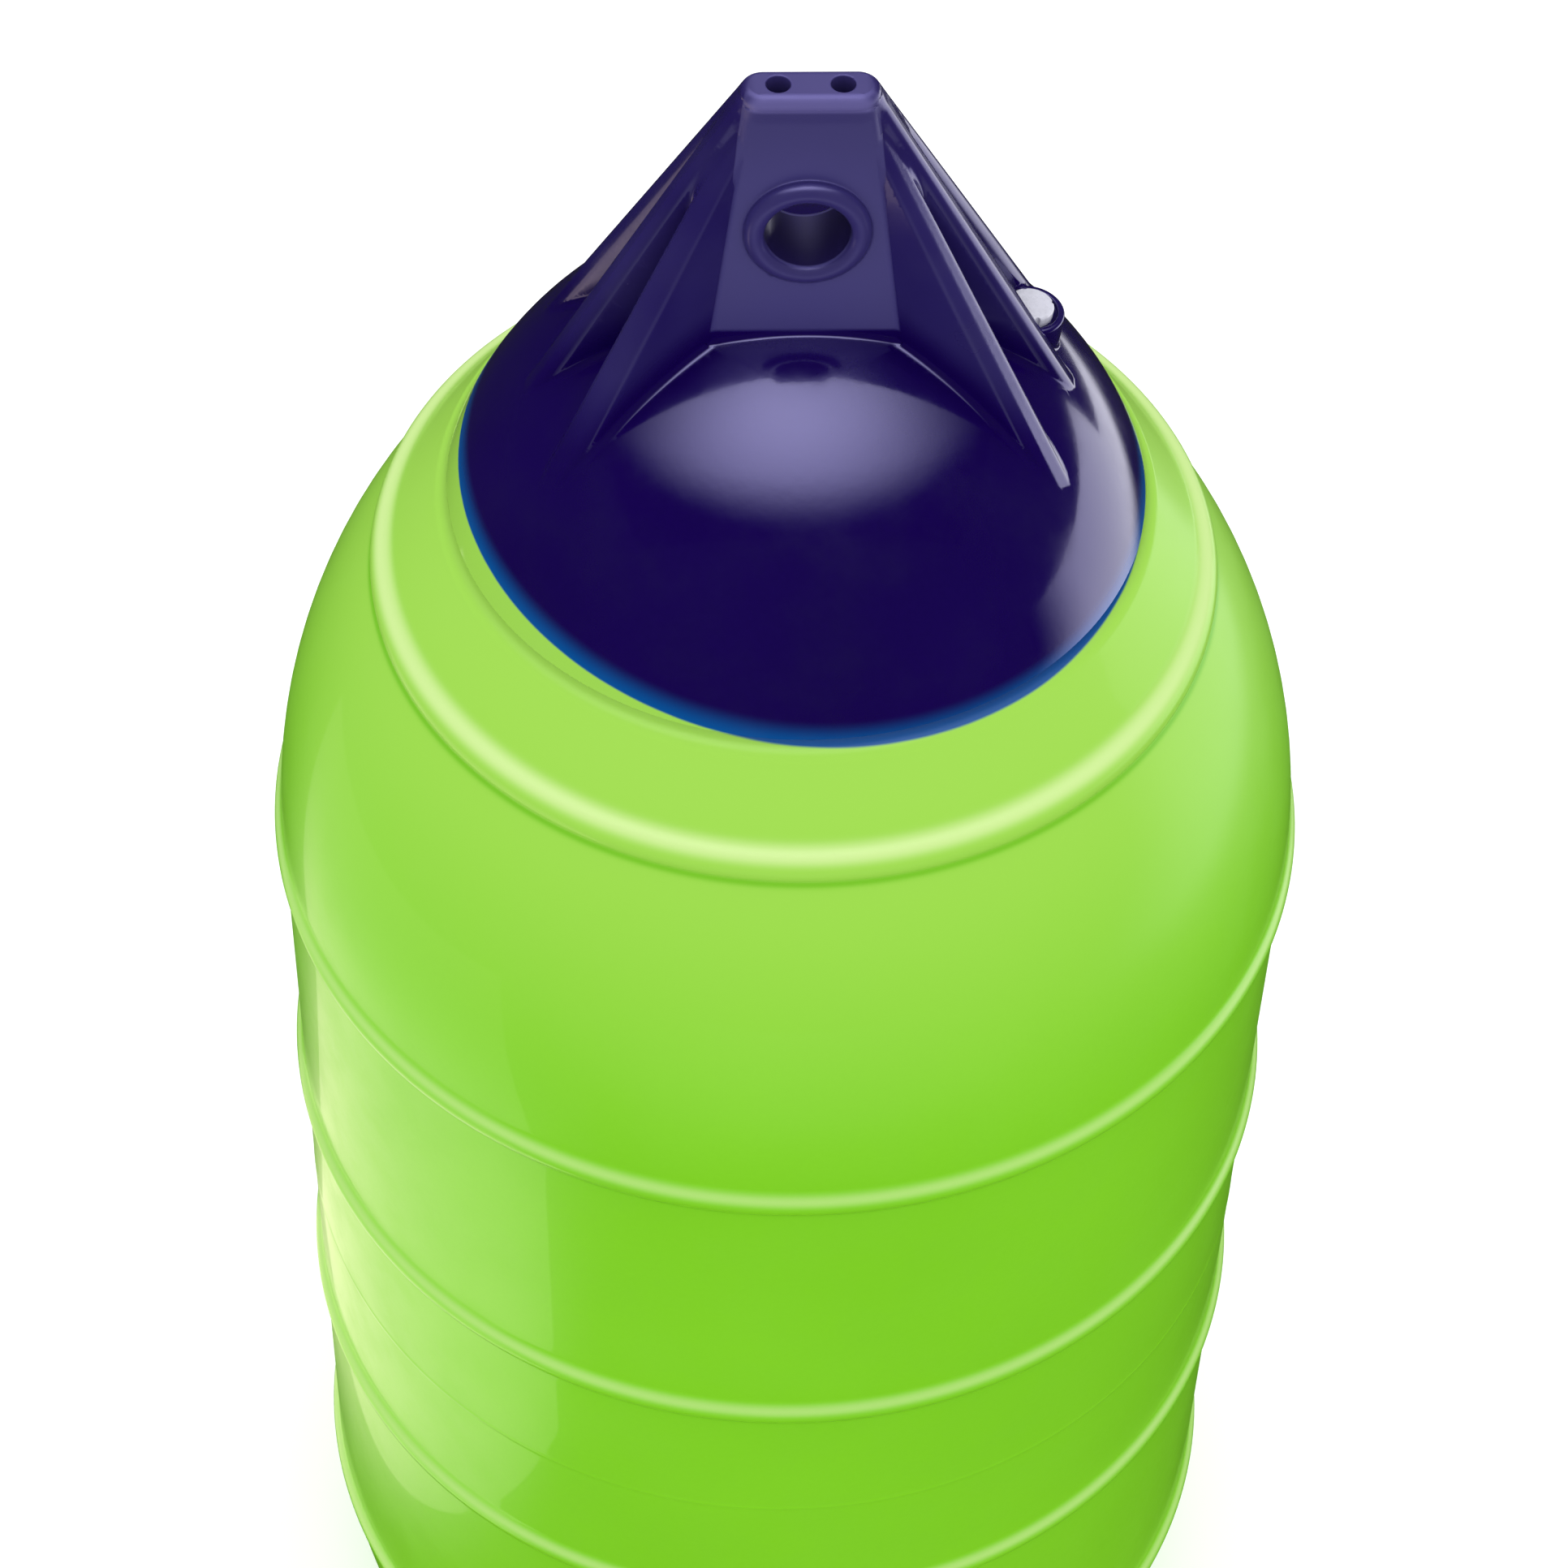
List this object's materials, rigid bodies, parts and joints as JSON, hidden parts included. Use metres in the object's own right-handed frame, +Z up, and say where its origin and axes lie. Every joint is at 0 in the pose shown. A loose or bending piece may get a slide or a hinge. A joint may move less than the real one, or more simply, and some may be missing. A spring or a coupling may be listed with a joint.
{
  "type": "inflatable mooring buoy",
  "caption": "Inflatable vinyl mooring buoy: round-ended barrel with moulded hoops, finned ropehold with a through eye on top, and a screw plug in its air valve.",
  "frame": {"origin": "on the long axis, in the plane of the floating waterline", "axes": "+Z up along the long axis to the ropehold, -Y out of the front flat face of the rope eye"},
  "size_m": [0.4059, 0.406, 1.0267],
  "materials": {
    "green_vinyl": "glossy moulded vinyl",
    "navy_vinyl": "glossy moulded vinyl",
    "white_plug": "smooth moulded plastic"
  },
  "bodies": {
    "root": {"skin": "green_vinyl", "ropehold": "navy_vinyl", "valve_plug": "white_plug"}
  },
  "joints": []
}
